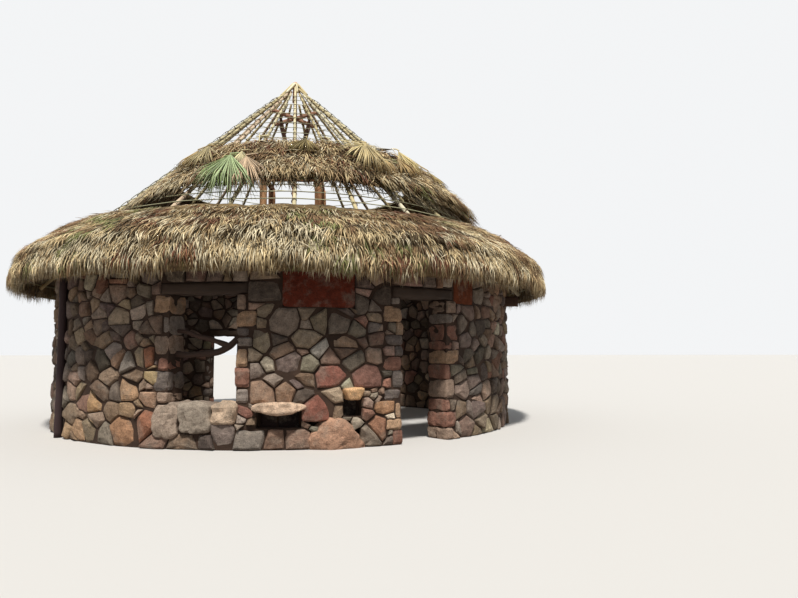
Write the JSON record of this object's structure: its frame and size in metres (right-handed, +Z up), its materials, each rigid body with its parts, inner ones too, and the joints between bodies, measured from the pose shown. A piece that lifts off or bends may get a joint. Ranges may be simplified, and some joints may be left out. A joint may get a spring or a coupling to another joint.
{
  "type": "rondavel hut with half-thatched roof",
  "caption": "Round rubble-stone hut with a conical pole roof, thatched with palm leaves in two bands, its top still bare.",
  "frame": {"origin": "centre of the round wall, on the ground", "axes": "+Z up; -Y is the front with the window and doorway, +X is right as seen from the front"},
  "size_m": [11.9, 11.9, 8.2003],
  "materials": {
    "rubble": "rough volcanic rubble in brown mortar",
    "block_stone": "rough split blocks",
    "red_clay": "matt red-brown fired clay",
    "old_timber": "dark weathered logs",
    "peeled_pole": "pale peeled poles",
    "tan_timber": "orange-tan timber",
    "cane": "thin grey-green canes",
    "palm_thatch": "dry palm leaves in layers"
  },
  "bodies": {
    "root": {"wall_front": "rubble", "wall_front_right": "rubble", "wall_right": "rubble", "wall_back_right": "rubble", "wall_back": "rubble", "wall_back_left": "rubble", "wall_left": "rubble", "wall_front_left": "rubble", "window_apron": "rubble", "wall_over_window": "rubble", "wall_over_door": "rubble", "wall_over_back_door": "rubble", "window_sill": "block_stone", "base_boulder": "block_stone", "ledge_stone": "block_stone", "small_ledge_stone": "block_stone", "red_panel": "red_clay", "side_panel": "red_clay", "window_lintel": "old_timber", "door_lintel": "old_timber", "back_door_lintel": "old_timber", "beam_end": "old_timber", "wall_plate": "old_timber", "eave_post": "old_timber", "window_branch": "old_timber", "rafters_front": "peeled_pole", "rafters_right": "peeled_pole", "rafters_back": "peeled_pole", "rafters_left": "peeled_pole", "centre_pole": "tan_timber", "collar_arms": "tan_timber", "collar_braces": "tan_timber", "tower_posts": "tan_timber", "tower_rails": "tan_timber", "battens_lower": "cane", "battens_middle": "cane", "battens_upper": "cane", "lower_thatch_front": "palm_thatch", "lower_thatch_right": "palm_thatch", "lower_thatch_back": "palm_thatch", "lower_thatch_left": "palm_thatch", "middle_thatch_front": "palm_thatch", "middle_thatch_right": "palm_thatch", "middle_thatch_back": "palm_thatch", "middle_thatch_left": "palm_thatch"}
  },
  "joints": []
}
